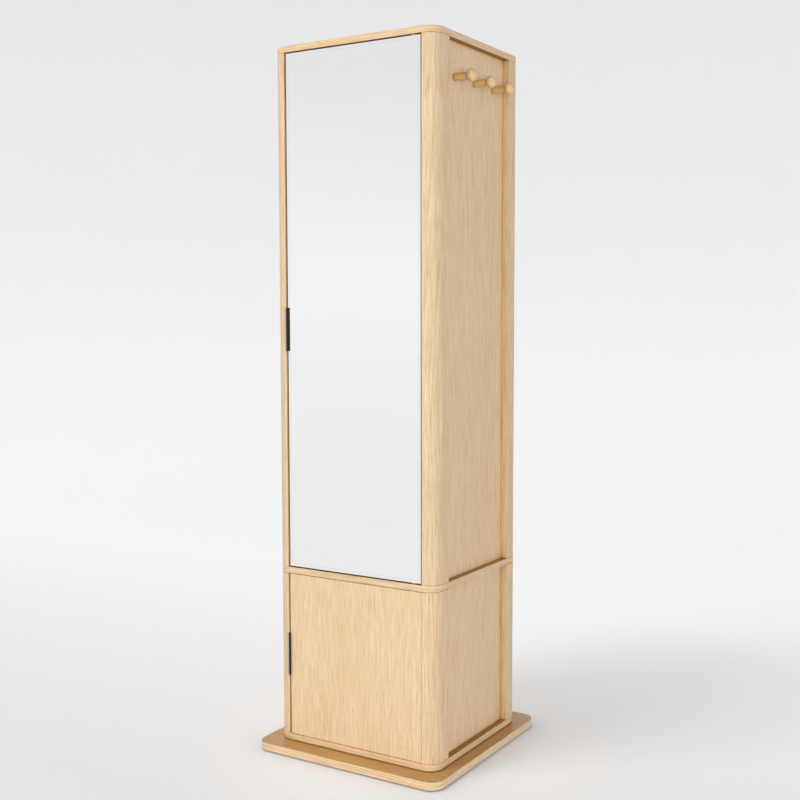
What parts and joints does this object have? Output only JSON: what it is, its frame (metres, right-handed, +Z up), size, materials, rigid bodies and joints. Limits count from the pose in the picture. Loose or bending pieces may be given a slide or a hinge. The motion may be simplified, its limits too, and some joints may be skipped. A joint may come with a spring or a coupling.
{
  "type": "revolving wardrobe cabinet",
  "caption": "Tall revolving wardrobe cabinet with rounded corners: a full mirror door above a small wooden door, coat pegs on one side, turning on a flat base plate.",
  "frame": {"origin": "on the floor, where the turning axis of the cabinet meets it, in the middle of the base pad", "axes": "+Z up along the turning axis; -Y towards the front, where the doors are; +X towards the side with the coat pegs, on the right when the doors are faced"},
  "size_m": [0.5493, 0.55, 1.8],
  "materials": {
    "base_oak": "satin lacquered oak",
    "post_oak": "satin lacquered oak",
    "panel_oak": "satin lacquered oak",
    "board_oak": "satin lacquered oak",
    "shelf_oak": "satin lacquered oak",
    "door_oak": "satin lacquered oak",
    "backing_oak": "satin lacquered oak",
    "peg_oak": "smooth turned oak",
    "mirror": "silvered glass",
    "pull_steel": "satin",
    "zinc_steel": "zinc plated",
    "rail_aluminium": "satin anodised",
    "nylon": "natural nylon",
    "pad_rubber": "matt"
  },
  "bodies": {
    "base": {"base_plate": "base_oak", "base_pad": "pad_rubber", "pivot_bolt": "zinc_steel", "pivot_lock_nut": "zinc_steel", "turntable_lower_ring": "zinc_steel", "lower_ring_screw_1": "zinc_steel", "lower_ring_screw_2": "zinc_steel", "lower_ring_screw_3": "zinc_steel"},
    "ball_cage": {"turntable_ball_cage": "zinc_steel"},
    "cabinet": {"bottom_panel": "board_oak", "coat_peg_1": "peg_oak", "coat_peg_2": "peg_oak", "coat_peg_3": "peg_oak", "hanging_rail": "rail_aluminium", "left_rail_socket": "zinc_steel", "lower_back_panel": "panel_oak", "lower_door_bottom_bush": "nylon", "lower_door_catch": "nylon", "lower_door_top_bush": "nylon", "lower_front_left_post": "post_oak", "lower_front_right_post": "post_oak", "lower_left_side_panel": "panel_oak", "lower_rear_left_post": "post_oak", "lower_rear_right_post": "post_oak", "lower_right_side_panel": "panel_oak", "lower_shelf": "shelf_oak", "middle_panel": "board_oak", "mirror_door_bottom_bush": "nylon", "mirror_door_catch": "nylon", "mirror_door_top_bush": "nylon", "pivot_bushing": "nylon", "right_rail_socket": "zinc_steel", "top_panel": "board_oak", "turntable_upper_ring": "zinc_steel", "upper_back_panel": "panel_oak", "upper_front_left_post": "post_oak", "upper_front_right_post": "post_oak", "upper_left_side_panel": "panel_oak", "upper_rear_left_post": "post_oak", "upper_rear_right_post": "post_oak", "upper_right_side_panel": "panel_oak", "upper_ring_screw_1": "zinc_steel", "upper_ring_screw_2": "zinc_steel", "upper_ring_screw_3": "zinc_steel", "upper_shelf": "shelf_oak"},
    "mirror_door": {"mirror_glass": "mirror", "mirror_door_board": "backing_oak", "mirror_door_pull": "pull_steel", "mirror_door_strike": "zinc_steel", "mirror_door_top_pin": "zinc_steel", "mirror_door_bottom_pin": "zinc_steel", "mirror_door_pull_screw_1": "zinc_steel", "mirror_door_pull_screw_2": "zinc_steel"},
    "lower_door": {"lower_door_board": "door_oak", "lower_door_pull": "pull_steel", "lower_door_strike": "zinc_steel", "lower_door_top_pin": "zinc_steel", "lower_door_bottom_pin": "zinc_steel", "lower_door_pull_screw_1": "zinc_steel", "lower_door_pull_screw_2": "zinc_steel"}
  },
  "joints": [
    {"name": "cabinet_turn", "type": "hinge", "parent": "base", "child": "cabinet", "pos_m": [0, 0, 0.02], "axis": [0, 0, 1], "continuous": true},
    {"name": "ball_cage_turn", "type": "hinge", "parent": "base", "child": "ball_cage", "pos_m": [0, 0, 0.02], "axis": [0, 0, 1], "continuous": true},
    {"name": "mirror_door_swing", "type": "hinge", "parent": "cabinet", "child": "mirror_door", "pos_m": [0.172, -0.211, 1.133], "axis": [0, 0, 1], "range_deg": [0, 110]},
    {"name": "lower_door_swing", "type": "hinge", "parent": "cabinet", "child": "lower_door", "pos_m": [0.174, -0.216, 0.2535], "axis": [0, 0, 1], "range_deg": [0, 110]}
  ],
  "couplings": [
    {"joint": "ball_cage_turn", "follows": "cabinet_turn", "ratio": 0.5}
  ]
}
